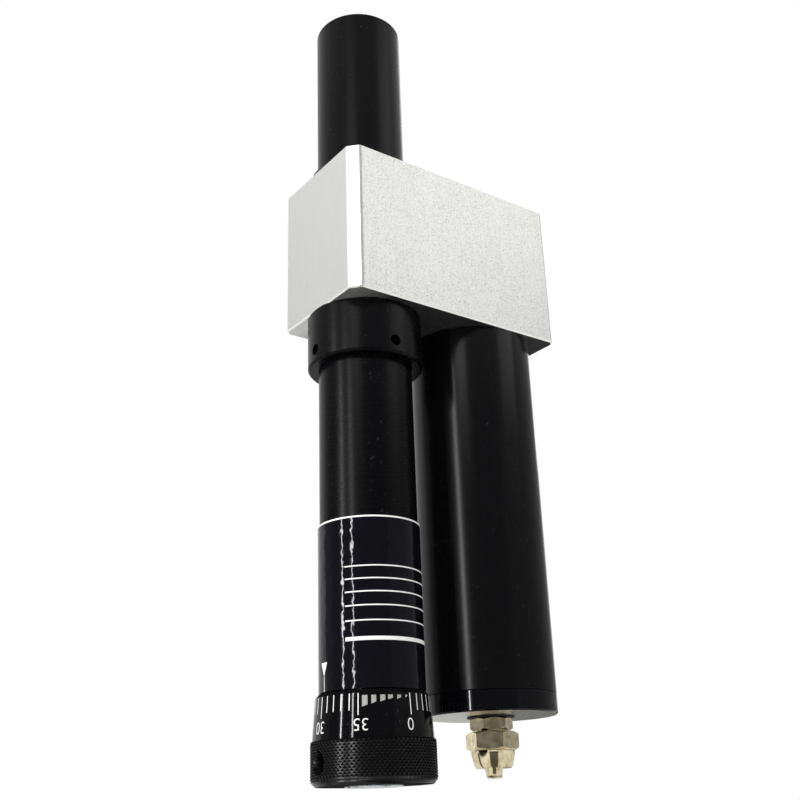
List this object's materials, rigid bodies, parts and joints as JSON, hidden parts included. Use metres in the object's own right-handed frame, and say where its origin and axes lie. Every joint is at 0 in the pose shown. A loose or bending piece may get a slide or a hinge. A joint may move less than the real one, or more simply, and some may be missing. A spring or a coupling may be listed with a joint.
{
  "type": "hydraulic feed regulator with air-oil tank",
  "caption": "Adjustable industrial shock absorber: hydraulic cylinder with a metering dial and a parallel air-oil tank, both held in one drilled manifold block.",
  "frame": {"origin": "middle of the four tapped mounting holes, in the plane of the block's back face", "axes": "+Y out of the back face towards the machine, +Z along the rod the way it extends, +X from the regulator to the tank"},
  "size_m": [0.1012, 0.051, 0.3181],
  "materials": {
    "blasted_aluminium": "fine blasted, clear anodised",
    "black_anodised": "satin black anodised",
    "label_film": "glossy black film, white print",
    "cap_finish": "gloss black anodised rim, bare turned end face",
    "turned_aluminium": "turned",
    "turned_steel": "turned",
    "honed_steel": "honed bore",
    "chromed_rod": "hard chromed and polished",
    "spring_steel": "phosphated spring steel",
    "zinc_steel": "zinc plated",
    "black_steel": "black oxide",
    "bronze": "sintered bronze",
    "copper": "soft copper",
    "nickel_brass": "nickel plated brass",
    "ptfe": "bronze-filled, matte",
    "polyurethane": "matte",
    "seal_rubber": "matte"
  },
  "bodies": {
    "housing": {"bleed_screw": "zinc_steel", "bleed_washer": "copper", "block_seal_rings": "seal_rubber", "fitting_body": "nickel_brass", "fitting_nut": "nickel_brass", "fitting_washer": "seal_rubber", "front_cap": "black_anodised", "front_retaining_ring": "spring_steel", "guide_bush": "bronze", "guide_o_ring": "seal_rubber", "head_o_ring": "seal_rubber", "label_sleeve": "label_film", "lock_ring": "black_anodised", "manifold_block": "blasted_aluminium", "metering_head": "turned_steel", "passage_plug": "zinc_steel", "pressure_tube": "honed_steel", "regulator_tube": "black_anodised", "rod_guide": "turned_aluminium", "rod_seal": "polyurethane", "rod_wiper": "polyurethane", "tank_cap": "cap_finish", "tank_cap_o_ring": "seal_rubber", "tank_head": "turned_aluminium", "tank_head_o_rings": "seal_rubber", "tank_tube": "black_anodised", "upper_retaining_ring": "spring_steel"},
    "rod": {"piston_rod": "chromed_rod", "piston": "turned_steel", "piston_ring": "ptfe", "piston_nut": "turned_steel", "stop_tube": "turned_steel"},
    "check_valve": {"check_plate": "spring_steel"},
    "dial": {"adjusting_dial": "black_anodised", "dial_set_screw": "black_steel", "metering_spindle": "turned_steel", "spindle_o_rings": "seal_rubber", "dial_retaining_screw": "zinc_steel"},
    "separator": {"separator_piston": "turned_aluminium", "separator_seals": "seal_rubber", "separator_wear_ring": "ptfe"}
  },
  "joints": [
    {"name": "rod_slide", "type": "slide", "parent": "housing", "child": "rod", "axis": [0, 0, 1], "range_m": [0, 0.1]},
    {"name": "check_lift", "type": "slide", "parent": "rod", "child": "check_valve", "axis": [0, 0, 1], "range_m": [0, 0.0008]},
    {"name": "dial_turn", "type": "hinge", "parent": "housing", "child": "dial", "pos_m": [-0.045, -0.0255, 0], "axis": [0, 0, 1], "range_deg": [-44, 264]},
    {"name": "separator_slide", "type": "slide", "parent": "housing", "child": "separator", "axis": [0, 0, 1], "range_m": [0, 0.00744]}
  ],
  "couplings": [
    {"joint": "separator_slide", "follows": "rod_slide", "ratio": 0.0744}
  ]
}
